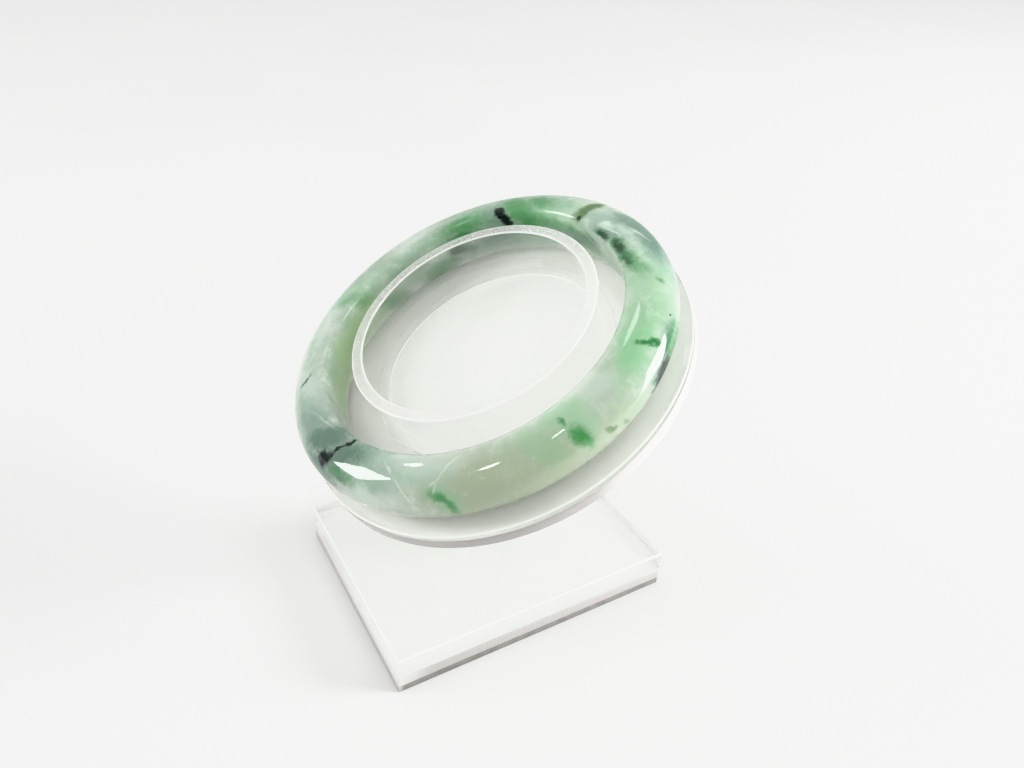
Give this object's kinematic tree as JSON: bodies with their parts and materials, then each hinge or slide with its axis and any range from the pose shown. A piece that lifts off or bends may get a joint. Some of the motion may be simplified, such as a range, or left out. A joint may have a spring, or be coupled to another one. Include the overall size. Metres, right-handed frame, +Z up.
{
  "type": "jade bangle on a display stand",
  "caption": "Round polished jade bangle with a domed outside, lying on a tilted acrylic display stand: a clear disc on a white one with a clear retaining ring, a square upright, and a clear plate on a white one.",
  "frame": {"origin": "middle of the base pad's underside, which stands on the table", "axes": "+Z up; -Y is the low front side, which the tilted discs and the bangle lean towards; X runs across the tilt"},
  "size_m": [0.0757, 0.0707, 0.0756],
  "materials": {
    "jade": "high polish, cloudy green and white with dark spots",
    "clear_acrylic": "clear, polished",
    "white_acrylic": "opaque white, polished",
    "grey_foam": "thin matt non-slip foam"
  },
  "bodies": {
    "root": {"bangle": "jade", "ring": "clear_acrylic", "top_disc": "clear_acrylic", "white_disc": "white_acrylic", "upright": "clear_acrylic", "base_plate": "clear_acrylic", "white_base": "white_acrylic", "base_pad": "grey_foam"}
  },
  "joints": []
}
